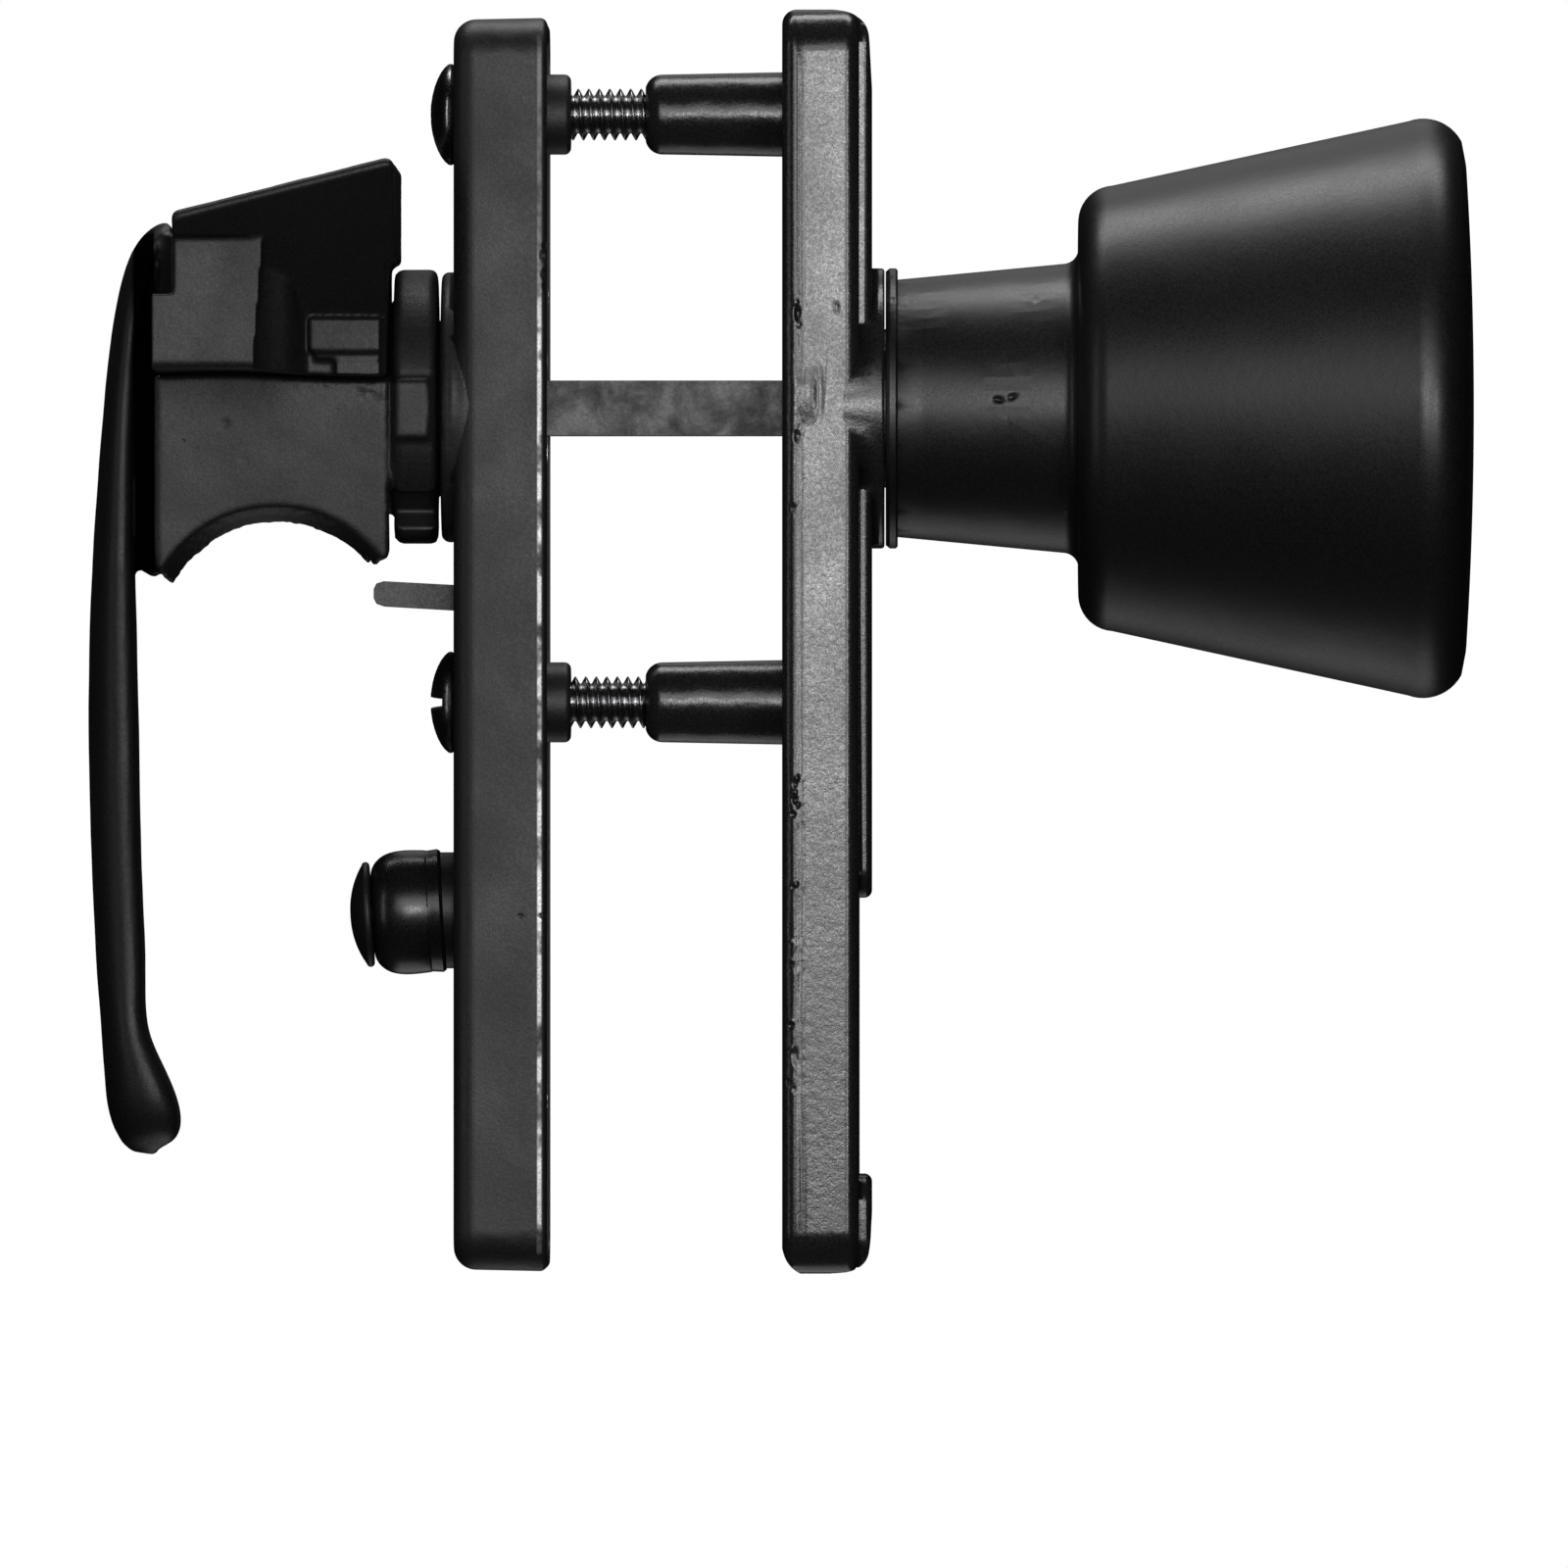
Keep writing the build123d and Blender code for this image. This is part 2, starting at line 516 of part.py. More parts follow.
# Cast plate, hollow behind, with a raised front panel broken by a recess, a
# bearing boss and two internally threaded posts
with BuildPart() as outside_escutcheon:
    with BuildSketch(outward(op_x0)):
        with Locations((0, op_mid)):
            RectangleRounded(op_w, op_len, op_corner)
    extrude(amount=op_base)
    fillet(outside_escutcheon.faces().sort_by(Axis.X)[-1].edges(), 1.1)
    fillet(outside_escutcheon.faces().sort_by(Axis.X)[0].edges(), 1.1)
    # raised panel in two lengths
    pad_x = op_x0 + op_base - 0.6
    with BuildSketch(outward(pad_x)):
        with Locations((0, (op_top - 0.35 + op_pad_gap_top) / 2)):
            RectangleRounded(op_pad_w, op_top - 0.35 - op_pad_gap_top, 2.2)
        with Locations((0, (op_bot + 0.45 + op_pad_gap_bot) / 2)):
            RectangleRounded(op_pad_w, op_pad_gap_bot - op_bot - 0.45, 2.2)
    extrude(amount=0.6 + op_pad_h)
    fillet(outside_escutcheon.faces().sort_by(Axis.X)[-2:].edges(), 0.6)
    # both ends are worn round from the front, the lower end also from behind
    with BuildSketch(Plane.XZ):
        with BuildLine():
            Spline((20.6, op_top + 0.1), (21.5, op_top - 0.01), (22.55, op_top - 0.18), (23.35, op_top - 0.53),
                   (23.9, op_top - 1.05), (24.16, op_top - 1.6), (24.3, op_top - 2.9), (24.42, op_top - 5.0),
                   (24.6, op_top - 8.5))
            Polyline((24.6, op_top - 8.5), (26.5, op_top - 8.5), (26.5, op_top + 1.5), (20.6, op_top + 1.5), (20.6, op_top + 0.1))
        make_face()
    extrude(amount=op_w, both=True, mode=Mode.SUBTRACT)
    with BuildSketch(Plane.XZ):
        with BuildLine():
            Spline((20.6, op_bot - 0.1), (21.6, op_bot + 0.03), (22.9, op_bot + 0.2), (23.7, op_bot + 0.62),
                   (24.1, op_bot + 1.15), (24.29, op_bot + 1.95), (24.4, op_bot + 3.6), (24.6, op_bot + 5.5))
            Polyline((24.6, op_bot + 5.5), (26.5, op_bot + 5.5), (26.5, op_bot - 1.5), (20.6, op_bot - 1.5), (20.6, op_bot - 0.1))
        make_face()
    extrude(amount=op_w, both=True, mode=Mode.SUBTRACT)
    with BuildSketch(Plane.XZ):
        with BuildLine():
            Spline((17.6, op_bot + 2.4), (17.75, op_bot + 1.75), (18.05, op_bot + 0.95), (18.5, op_bot + 0.4), (19.3, op_bot - 0.1))
            Polyline((19.3, op_bot - 0.1), (19.3, op_bot - 1.5), (16.5, op_bot - 1.5), (16.5, op_bot + 2.4), (17.6, op_bot + 2.4))
        make_face()
    extrude(amount=op_w, both=True, mode=Mode.SUBTRACT)
    # bearing boss
    with BuildSketch(outward(op_x0 + 4.6)):
        Circle(op_boss_r)
    extrude(amount=op_boss_x - op_x0 - 4.6)
    fillet(outside_escutcheon.faces().sort_by(Axis.X)[-1].edges(), 0.25)
    # hollow back
    with BuildSketch(outward(op_x0)):
        with Locations((0, op_mid)):
            RectangleRounded(op_w - 3.8, op_len - 3.8, 1.6)
    extrude(amount=op_cav, mode=Mode.SUBTRACT)
    # ring wall round the bearing, and the two posts with their root fillets
    with BuildSketch(outward(op_x0 + 0.4)):
        Circle(8.6)
        Circle(7.4, mode=Mode.SUBTRACT)
    extrude(amount=op_cav)
    for pz in (screw_z, -screw_z):
        with BuildSketch(inward(op_floor + 0.3)):
            with Locations((0, pz)):
                Circle(post_r_base + 0.06)
        extrude(amount=op_floor + 0.3 - post_tip_x, taper=1.1)
    tips = outside_escutcheon.faces().filter_by(Axis.X).sort_by(Axis.X)[0:2]
    fillet(tips.edges(), 1.3)
    with BuildSketch(inward(op_x0 + 2.0)):
        with Locations((0, screw_z), (0, -screw_z)):
            Circle(post_bore_r)
    extrude(amount=20, mode=Mode.SUBTRACT)
    # bearing hole
    with BuildSketch(inward(30)):
        Circle(journal_hole_r)
    extrude(amount=12.0, mode=Mode.SUBTRACT)

# Drawn knob: flange, neck and flared body in one wall, open at the face
with BuildPart() as knob_body:
    with BuildSketch(Plane.XZ):
        with BuildLine():
            kx0, kx1 = knob_flange_x0, knob_flange_x1
            Polyline((kx0, knob_bore_r), (kx0, 10.35), (kx0 + 0.2, 10.6), (kx1 - 0.15, 10.6), (kx1, 10.45), (kx1, 9.74),
                     (38.9, 10.93))
            ThreePointArc((38.9, 10.93), (39.75, 11.32), (40.05, 12.2))
            Line((40.05, 12.2), (40.05, 13.9))
            ThreePointArc((40.05, 13.9), (40.72, 15.92), (42.6, 16.85))
            Line((42.6, 16.85), (65.0, 21.72))
            ThreePointArc((65.0, 21.72), (67.3, 21.7), (69.0, 20.2))
            Line((69.0, 20.2), (69.3, face_r + 0.04))
            Polyline((69.3, face_r + 0.04), (68.0, face_r + 0.04), (68.0, 18.0), (67.2, 18.0))
            Line((67.2, 18.0), (66.2, 20.1))
            Line((66.2, 20.1), (64.9, 20.15))
            Line((64.9, 20.15), (43.0, 15.35))
            Line((43.0, 15.35), (41.6, 14.2))
            Line((41.6, 14.2), (41.45, 12.2))
            Line((41.45, 12.2), (40.2, 10.0))
            Line((40.2, 10.0), (38.0, knob_bore_r))
            Line((38.0, knob_bore_r), (kx0, knob_bore_r))
        make_face()
    revolve(axis=Axis.X)

# Pressed face disc, slightly domed, seated in the front of the knob
with BuildPart() as knob_face_cap:
    with BuildSketch(Plane.XZ):
        with BuildLine():
            Line((68.9, 0), (69.9, 0))
            Spline((69.9, 0), (69.73, 10.0), (69.3, face_r), tangents=((0, 1), (-0.065, 1)))
            Polyline((69.3, face_r), (68.03, face_r), (68.03, 17.2), (68.9, 16.4), (68.9, 0))
        make_face()
    revolve(axis=Axis.X)

# Core pressed into the neck: drum, journal through the plate, ring groove and
# the square socket for the spindle
with BuildPart() as knob_core:
    with BuildSketch(Plane.XZ):
        with BuildLine():
            Polyline((18.6, 0), (18.6, 5.7), (18.9, journal_r), (20.1, journal_r), (20.1, 5.3), (20.8, 5.3),
                     (20.8, journal_r), (25.55, journal_r), (25.55, 7.9), (25.9, knob_bore_r - 0.02),
                     (37.6, knob_bore_r - 0.02), (40.2, 8.1), (41.6, 7.4), (46.0, 6.6), (46.0, 0), (18.6, 0))
        make_face()
    revolve(axis=Axis.X)
    with BuildSketch(outward(18.0)):
        Rectangle(sq_socket, sq_socket)
    extrude(amount=spindle_x1 + 0.6 - 18.0, mode=Mode.SUBTRACT)

# Thrust washer and snap ring behind the outside plate
with BuildPart() as knob_thrust_washer:
    with BuildSketch(outward(20.87)):
        Circle(7.3)
        Circle(journal_r + 0.06, mode=Mode.SUBTRACT)
    extrude(amount=0.5)

with BuildPart() as knob_retaining_ring:
    with BuildSketch(outward(20.14)):
        Circle(7.15)
        Circle(5.38, mode=Mode.SUBTRACT)
        with Locations((0, -7.2)):
            Rectangle(4.4, 7.0, mode=Mode.SUBTRACT)
    extrude(amount=0.62)

# Square bar that ties handle and knob together, chamfered at both ends
with BuildPart() as spindle:
    with BuildSketch(outward(spindle_x0)):
        Rectangle(sq, sq)
    extrude(amount=spindle_x1 - spindle_x0)
    chamfer(spindle.faces().sort_by(Axis.X)[0].edges() + spindle.faces().sort_by(Axis.X)[-1].edges(), 0.45)

# ---------------------------------------------------------------------------
inside_escutcheon.part.label = "inside_escutcheon"
export_step(inside_escutcheon.part, "parts/inside_escutcheon.step")
latch_handle.part.label = "latch_handle"
export_step(latch_handle.part, "parts/latch_handle.step")
latch_nose.part.label = "latch_nose"
export_step(latch_nose.part, "parts/latch_nose.step")
nose_pin.part.label = "nose_pin"
export_step(nose_pin.part, "parts/nose_pin.step")
hub_washer.part.label = "hub_washer"
export_step(hub_washer.part, "parts/hub_washer.step")
hub_retaining_ring.part.label = "hub_retaining_ring"
export_step(hub_retaining_ring.part, "parts/hub_retaining_ring.step")
handle_return_spring.part.label = "handle_return_spring"
export_step(handle_return_spring.part, "parts/handle_return_spring.step")
inside_back_plate.part.label = "inside_back_plate"
export_step(inside_back_plate.part, "parts/inside_back_plate.step")
lock_slide.part.label = "lock_slide"
export_step(lock_slide.part, "parts/lock_slide.step")
lock_button.part.label = "lock_button"
export_step(lock_button.part, "parts/lock_button.step")
button_washer.part.label = "button_washer"
export_step(button_washer.part, "parts/button_washer.step")
lock_stem.part.label = "lock_stem"
export_step(lock_stem.part, "parts/lock_stem.step")
lock_detent_spring.part.label = "lock_detent_spring"
export_step(lock_detent_spring.part, "parts/lock_detent_spring.step")
mounting_screws.part.label = "mounting_screws"
export_step(mounting_screws.part, "parts/mounting_screws.step")
outside_escutcheon.part.label = "outside_escutcheon"
export_step(outside_escutcheon.part, "parts/outside_escutcheon.step")
knob_body.part.label = "knob_body"
export_step(knob_body.part, "parts/knob_body.step")
knob_face_cap.part.label = "knob_face_cap"
export_step(knob_face_cap.part, "parts/knob_face_cap.step")
knob_core.part.label = "knob_core"
export_step(knob_core.part, "parts/knob_core.step")
knob_thrust_washer.part.label = "knob_thrust_washer"
export_step(knob_thrust_washer.part, "parts/knob_thrust_washer.step")
knob_retaining_ring.part.label = "knob_retaining_ring"
export_step(knob_retaining_ring.part, "parts/knob_retaining_ring.step")
spindle.part.label = "spindle"
export_step(spindle.part, "parts/spindle.step")
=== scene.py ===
import bpy
import bmesh
import math
import numpy as np
from mathutils import Matrix, Vector, noise


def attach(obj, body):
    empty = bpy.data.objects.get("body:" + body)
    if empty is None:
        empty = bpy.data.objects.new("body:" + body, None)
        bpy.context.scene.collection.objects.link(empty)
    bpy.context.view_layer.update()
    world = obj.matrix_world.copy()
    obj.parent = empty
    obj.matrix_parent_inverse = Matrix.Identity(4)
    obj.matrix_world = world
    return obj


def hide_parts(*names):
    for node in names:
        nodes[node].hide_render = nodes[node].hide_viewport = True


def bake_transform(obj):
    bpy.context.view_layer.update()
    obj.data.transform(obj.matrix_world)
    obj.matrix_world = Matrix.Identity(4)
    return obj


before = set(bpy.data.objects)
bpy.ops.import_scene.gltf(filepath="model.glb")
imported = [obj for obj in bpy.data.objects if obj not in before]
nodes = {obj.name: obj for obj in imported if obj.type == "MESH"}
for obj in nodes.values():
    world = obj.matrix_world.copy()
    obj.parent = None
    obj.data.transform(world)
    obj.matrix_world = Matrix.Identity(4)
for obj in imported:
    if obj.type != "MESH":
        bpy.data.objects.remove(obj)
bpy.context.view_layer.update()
scene = bpy.context.scene
MM = 0.001


# ---------------------------------------------------------------------------
# Material graphs
# ---------------------------------------------------------------------------
class Graph:
    """A principled material whose nodes are added one call at a time. Positions are object space, in metres."""

    def __init__(self, name):
        self.mat = bpy.data.materials.new(name)
        self.mat.use_nodes = True
        self.t = self.mat.node_tree
        self.t.nodes.clear()
        self.out = self.t.nodes.new("ShaderNodeOutputMaterial")
        self.b = self.t.nodes.new("ShaderNodeBsdfPrincipled")
        self.t.links.new(self.b.outputs[0], self.out.inputs["Surface"])
        self.tc = self.t.nodes.new("ShaderNodeTexCoord")
        self.p = self.tc.outputs["Object"]
        self.n = self.tc.outputs["Normal"]

    def put(self, socket, value):
        if hasattr(value, "is_linked") or isinstance(value, bpy.types.NodeSocket):
            self.t.links.new(value, socket)
        else:
            socket.default_value = value

    def set(self, **kw):
        for k, v in kw.items():
            self.put(self.b.inputs[k.replace("_", " ")], v)
        return self

    def noise(self, scale, detail=2.0, rough=0.5, dist=0.0, vec=None):
        n = self.t.nodes.new("ShaderNodeTexNoise")
        self.t.links.new(vec or self.p, n.inputs["Vector"])
        n.inputs["Scale"].default_value = scale
        n.inputs["Detail"].default_value = detail
        n.inputs["Roughness"].default_value = rough
        n.inputs["Distortion"].default_value = dist
        return n.outputs["Fac"]

    def voronoi(self, scale, feature="F1", vec=None, randomness=1.0, out="Distance"):
        n = self.t.nodes.new("ShaderNodeTexVoronoi")
        n.feature = feature
        self.t.links.new(vec or self.p, n.inputs["Vector"])
        n.inputs["Scale"].default_value = scale
        n.inputs["Randomness"].default_value = randomness
        return n.outputs[out]

    def stretch(self, sx, sy, sz, off=(0, 0, 0), rot=(0, 0, 0)):
        n = self.t.nodes.new("ShaderNodeMapping")
        self.t.links.new(self.p, n.inputs["Vector"])
        n.inputs["Scale"].default_value = (sx, sy, sz)
        n.inputs["Location"].default_value = off
        n.inputs["Rotation"].default_value = rot
        return n.outputs[0]

    def rng(self, v, a, b, c, d, smooth=False):
        n = self.t.nodes.new("ShaderNodeMapRange")
        n.clamp = True
        if smooth:
            n.interpolation_type = "SMOOTHSTEP"
        self.t.links.new(v, n.inputs["Value"])
        for k, x in zip(("From Min", "From Max", "To Min", "To Max"), (a, b, c, d)):
            n.inputs[k].default_value = x
        return n.outputs["Result"]

    def m(self, op, a, b=0.0, c=None, clamp=False):
        n = self.t.nodes.new("ShaderNodeMath")
        n.operation = op
        n.use_clamp = clamp
        self.put(n.inputs[0], a)
        self.put(n.inputs[1], b)
        if c is not None:
            self.put(n.inputs[2], c)
        return n.outputs[0]

    def mix(self, f, a, b):
        n = self.t.nodes.new("ShaderNodeMix")
        n.data_type = "RGBA"
        self.put(n.inputs[0], f)
        self.put(n.inputs[6], a)
        self.put(n.inputs[7], b)
        return n.outputs[2]

    def grey(self, f, a, b, tint=1.02):
        return self.mix(f, (a, a, a * tint, 1), (b, b, b * tint, 1))

    def xyz(self, v=None):
        n = self.t.nodes.new("ShaderNodeSeparateXYZ")
        self.t.links.new(v or self.p, n.inputs[0])
        return n.outputs

    def near(self, c, r0, r1, squash=(1, 1, 1)):
        """1 within r0 of the point c, 0 beyond r1 (millimetres)."""
        n = self.t.nodes.new("ShaderNodeMapping")
        n.vector_type = "POINT"
        self.t.links.new(self.p, n.inputs["Vector"])
        n.inputs["Scale"].default_value = squash
        n.inputs["Location"].default_value = tuple(-ci * MM * si for ci, si in zip(c, squash))
        ln = self.t.nodes.new("ShaderNodeVectorMath")
        ln.operation = "LENGTH"
        self.t.links.new(n.outputs[0], ln.inputs[0])
        return self.rng(ln.outputs["Value"], r0 * MM, r1 * MM, 1, 0, smooth=True)

    def bump(self, h, dist_mm, strength=1.0, normal=None):
        n = self.t.nodes.new("ShaderNodeBump")
        n.inputs["Strength"].default_value = strength
        n.inputs["Distance"].default_value = dist_mm * MM
        self.t.links.new(h, n.inputs["Height"])
        if normal is not None:
            self.t.links.new(normal, n.inputs["Normal"])
        return n.outputs[0]


def satin_black(name, tone=0.008, rough=0.45, grain=0.018, grain_scale=5200, peel=0.02, pits=0.0, spec=0.5,
                wear=None, vary=0.05, shade=None):
    """Satin black paint over a casting: fine grain, faint orange peel, soft patches; on request pits with painted shade
    in them, rubbed places, and painted shade where a mask says.
    """
    g = Graph(name)
    fine = g.noise(grain_scale, 3.0, 0.62)
    mid = g.noise(1500, 2.0, 0.5)
    wide = g.noise(95, 3.0, 0.55, 0.3)
    col = g.grey(g.rng(fine, 0.3, 0.72, 0, 1), tone * 0.6, tone * 1.6)
    col = g.mix(g.rng(wide, 0.35, 0.7, 0, 0.45), col, (tone * 0.5, tone * 0.5, tone * 0.52, 1))
    r = g.m("ADD", g.rng(fine, 0.3, 0.7, rough - 0.05, rough + 0.06), g.rng(wide, 0.35, 0.65, -vary, vary))
    nrm = g.bump(mid, peel, 0.8)
    nrm = g.bump(fine, grain, 0.9, nrm)
    if pits:
        v = g.voronoi(900)
        few = g.rng(g.noise(260, 1.0), 0.60, 0.72, 0, 1)
        pit = g.m("MULTIPLY", g.rng(v, 0.05, 0.20, 1, 0, smooth=True), few)
        nrm = g.bump(g.m("SUBTRACT", 1.0, pit), pits, 1.0, nrm)
        # the pits are also darkened in colour: painted shade inside the pits
        col = g.mix(g.m("MULTIPLY", pit, 0.7), col, (0.002, 0.002, 0.002, 1))
    if wear is not None:
        w = wear(g, fine)
        col = g.mix(w, col, (0.34, 0.34, 0.35, 1))
        r = g.m("ADD", r, g.m("MULTIPLY", w, -0.08))
        g.set(Metallic=w)
    g.b.inputs["Specular IOR Level"].default_value = spec
    # painted shade: where the mask is 1 the colour goes near-black and the specular is taken away
    if shade is not None:
        k = shade(g)
        col = g.mix(k, col, (0.0012, 0.0012, 0.0012, 1))
        g.set(Specular_IOR_Level=g.m("MULTIPLY", g.m("SUBTRACT", 1.0, k), spec))
    g.set(Base_Color=col, Roughness=r, Normal=nrm)
    return g


def steel(name, tone=0.42, rough=0.28, streak=(1, 1, 1), dark=0.12, grain=0.006):
    g = Graph(name)
    s = g.stretch(*streak)
    fine = g.noise(6000, 3.0, 0.6, vec=s)
    blot = g.noise(420, 4.0, 0.6, 0.4)
    col = g.grey(g.rng(fine, 0.3, 0.7, 0, 1), tone * 0.85, tone * 1.12)
    col = g.mix(g.rng(blot, 0.42, 0.72, 0, 0.6), col, (dark, dark, dark * 1.03, 1))
    r = g.m("ADD", g.rng(fine, 0.3, 0.7, rough - 0.05, rough + 0.07), g.rng(blot, 0.4, 0.7, 0, 0.12))
    g.set(Base_Color=col, Roughness=r, Normal=g.bump(fine, grain, 0.7))
    g.b.inputs["Metallic"].default_value = 1.0
    return g


def along(g, axis, at, half, z0, z1, soft=0.12):
    """A thin band round the plane axis = at (mm), between the heights z0 and z1 (mm)."""
    p = g.xyz()
    d = g.m("ABSOLUTE", g.m("SUBTRACT", p[axis], at * MM))
    band = g.rng(d, half * MM, (half + soft) * MM, 1, 0, smooth=True)
    lo = g.rng(p[2], (z0 - 0.8) * MM, z0 * MM, 0, 1, smooth=True)
    hi = g.rng(p[2], z1 * MM, (z1 + 0.8) * MM, 1, 0, smooth=True)
    return g.m("MULTIPLY", band, g.m("MULTIPLY", lo, hi))


def plate_wear(g, fine):
    """The inside plate's rear edge on the near side, rubbed through in places."""
    p = g.xyz()
    near_side = g.rng(p[1], -9.75 * MM, -9.95 * MM, 0, 1)
    line = along(g, 0, -0.55, 0.10, -64, 28, 0.16)
    patchy = g.rng(g.noise(340, 3.0, 0.6), 0.40, 0.56, 0, 1)
    strong = g.rng(p[2], 6 * MM, 13 * MM, 1, 0.35)
    return g.m("MULTIPLY", g.m("MULTIPLY", line, near_side), g.m("MULTIPLY", patchy, strong))


def painted_groove_shade(g):
    """The narrow groove between lever and block, painted near-black with its specular taken away: painted shade in the
    groove.
    """
    p = g.xyz()
    x = g.m("MULTIPLY", g.rng(p[0], -31.45 * MM, -31.15 * MM, 0, 1), g.rng(p[0], -29.72 * MM, -29.55 * MM, 1, 0))
    y = g.rng(g.m("ABSOLUTE", p[1]), 8.55 * MM, 8.8 * MM, 1, 0)
    z = g.m("MULTIPLY", g.rng(p[2], -14.0 * MM, -12.5 * MM, 0, 1), g.rng(p[2], 13.0 * MM, 14.0 * MM, 1, 0))
    return g.m("MULTIPLY", g.m("MULTIPLY", x, y), z)


plate = satin_black("plate_satin", tone=0.0078, rough=0.50, grain=0.02, wear=plate_wear)
outside = satin_black("outside_satin", tone=0.012, rough=0.25, grain=0.012, vary=0.03)
# the handle's casting, with painted shade in the groove between lever and block
cast = satin_black("cast_black", tone=0.0078, rough=0.50, grain=0.022, pits=0.03, spec=0.42, shade=painted_groove_shade)
nose_m = satin_black("nose_black", tone=0.0078, rough=0.50, grain=0.02, spec=0.42)
knob_m = satin_black("knob_satin", tone=0.005, rough=0.39, grain=0.005, peel=0.010, vary=0.02)
lock_m = satin_black("lock_satin", tone=0.008, rough=0.44, grain=0.012, spec=0.42)
button_m = satin_black("button_moulded", tone=0.006, rough=0.28, grain=0.003, peel=0.005, vary=0.02)
screw_m = steel("screw_dark_zinc", tone=0.36, rough=0.20, dark=0.06)
spindle_m = steel("spindle_oxide", tone=0.06, rough=0.42, dark=0.02)
zinc_m = steel("zinc_cast", tone=0.5, rough=0.45, dark=0.25)
spring_m = steel("spring_wire", tone=0.55, rough=0.2, dark=0.3)
sheet_m = steel("sheet_zinc", tone=0.5, rough=0.32, dark=0.28)

finish_of = {
    "inside_escutcheon": plate, "latch_handle": cast, "latch_nose": nose_m, "nose_pin": sheet_m,
    "hub_washer": sheet_m, "hub_retaining_ring": spring_m, "handle_return_spring": spring_m,
    "inside_back_plate": sheet_m, "lock_slide": lock_m, "lock_button": button_m, "button_washer": lock_m,
    "lock_stem": lock_m, "lock_detent_spring": spring_m, "mounting_screws": screw_m,
    "outside_escutcheon": outside, "knob_body": knob_m, "knob_face_cap": knob_m, "knob_core": zinc_m,
    "knob_thrust_washer": sheet_m, "knob_retaining_ring": spring_m, "spindle": spindle_m,
}
for name, o in nodes.items():
    for s in o.material_slots:
        s.material = finish_of[name].mat


# ---------------------------------------------------------------------------
# Shape detail that the plain solids leave out
# ---------------------------------------------------------------------------
def add_mesh(name, me, body, mats, smooth=True):
    for m_ in mats:
        me.materials.append(m_)
    me.polygons.foreach_set("use_smooth", [smooth] * len(me.polygons))
    ob = bpy.data.objects.new(name, me)
    scene.collection.objects.link(ob)
    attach(ob, body)
    return ob


def evaluated(ob):
    """The mesh of ob with its modifiers, as a new mesh in the row frame."""
    bpy.context.view_layer.update()
    dg = bpy.context.evaluated_depsgraph_get()
    me = bpy.data.meshes.new_from_object(ob.evaluated_get(dg))
    me.transform(ob.matrix_world)
    return me


def copy_of(name):
    """A welded bmesh copy of a CAD node, in the row frame."""
    bm = bmesh.new()
    bm.from_mesh(nodes[name].data)
    bm.transform(nodes[name].matrix_world)
    bmesh.ops.remove_doubles(bm, verts=bm.verts, dist=2e-6)
    return bm


def to_object(bm, name):
    me = bpy.data.meshes.new(name)
    bm.to_mesh(me)
    bm.free()
    ob = bpy.data.objects.new(name, me)
    scene.collection.objects.link(ob)
    return ob


def drop(ob):
    me = ob.data
    bpy.data.objects.remove(ob)
    bpy.data.meshes.remove(me)


def coords(me):
    co = np.empty(len(me.vertices) * 3)
    me.vertices.foreach_get("co", co)
    return co.reshape(-1, 3) / MM


def normals(me):
    n = np.empty(len(me.vertices) * 3, dtype=np.float32)
    me.vertices.foreach_get("normal", n)
    return n.reshape(-1, 3).astype(float)


def set_coords(me, co):
    me.vertices.foreach_set("co", (co * MM).ravel())
    me.update()


def fuzz(p, scale, seed=0.0):
    """Smooth noise, about -1..1, one value a point (mm)."""
    return np.array([noise.noise(Vector((x * scale + seed, y * scale - seed, z * scale + 2 * seed))) for x, y, z in p])


def ball(p, c, r):
    """A soft bump of 1 at c that fades to 0 at the distance r; r may be a triple (mm)."""
    d = (p - np.array(c)) / np.array(r)
    t = np.clip(1 - (d ** 2).sum(axis=1), 0, 1)
    return t * t


def fine_copy(name, voxel, smooth=2):
    """A node meshed finely all over, so that every edge is a little round, as on a casting."""
    ob = to_object(copy_of(name), name + "_work")
    m1 = ob.modifiers.new("voxel", "REMESH")
    m1.mode = "VOXEL"
    m1.voxel_size = voxel * MM
    m2 = ob.modifiers.new("ease", "SMOOTH")
    m2.factor, m2.iterations = 0.5, smooth
    me = evaluated(ob)
    drop(ob)
    me.name = name + "_fine"
    return me


def slice_boxes(bm, boxes):
    """Cuts the faces inside a box (lo, hi, step or (step x, step z); mm) along planes across X, then across Z."""
    for lo, hi, step in boxes:
        steps = step if isinstance(step, tuple) else (step, step)
        lo, hi = [v * MM for v in lo], [v * MM for v in hi]
        for axis, st, spans in ((0, steps[0], (0, 1, 2)), (2, steps[1], (1, 2))):
            if st == 0:
                continue
            faces = []
            for f in bm.faces:
                cs = [v.co for v in f.verts]
                c = f.calc_center_median()
                reach = all(max(q[i] for q in cs) >= lo[i] and min(q[i] for q in cs) <= hi[i] for i in spans)
                if reach and (axis == 0 or lo[0] <= c[0] <= hi[0]):
                    faces.append(f)
            geom = list({v for f in faces for v in f.verts}) + list({e for f in faces for e in f.edges}) + faces
            no = (1, 0, 0) if axis == 0 else (0, 0, 1)
            for v in list(np.arange(lo[axis], hi[axis], st * MM)) + [hi[axis]]:
                co = (v, 0, 0) if axis == 0 else (0, 0, v)
                geom = bmesh.ops.bisect_plane(bm, geom=geom, dist=1e-7, plane_co=co, plane_no=no)["geom"]
    bmesh.ops.triangulate(bm, faces=[f for f in bm.faces if len(f.verts) > 3])


def weighted(ob, angle=28):
    ob.data.set_sharp_from_angle(angle=math.radians(angle))
    w = ob.modifiers.new("weighted", "WEIGHTED_NORMAL")
    w.keep_sharp = True
    w.weight = 80


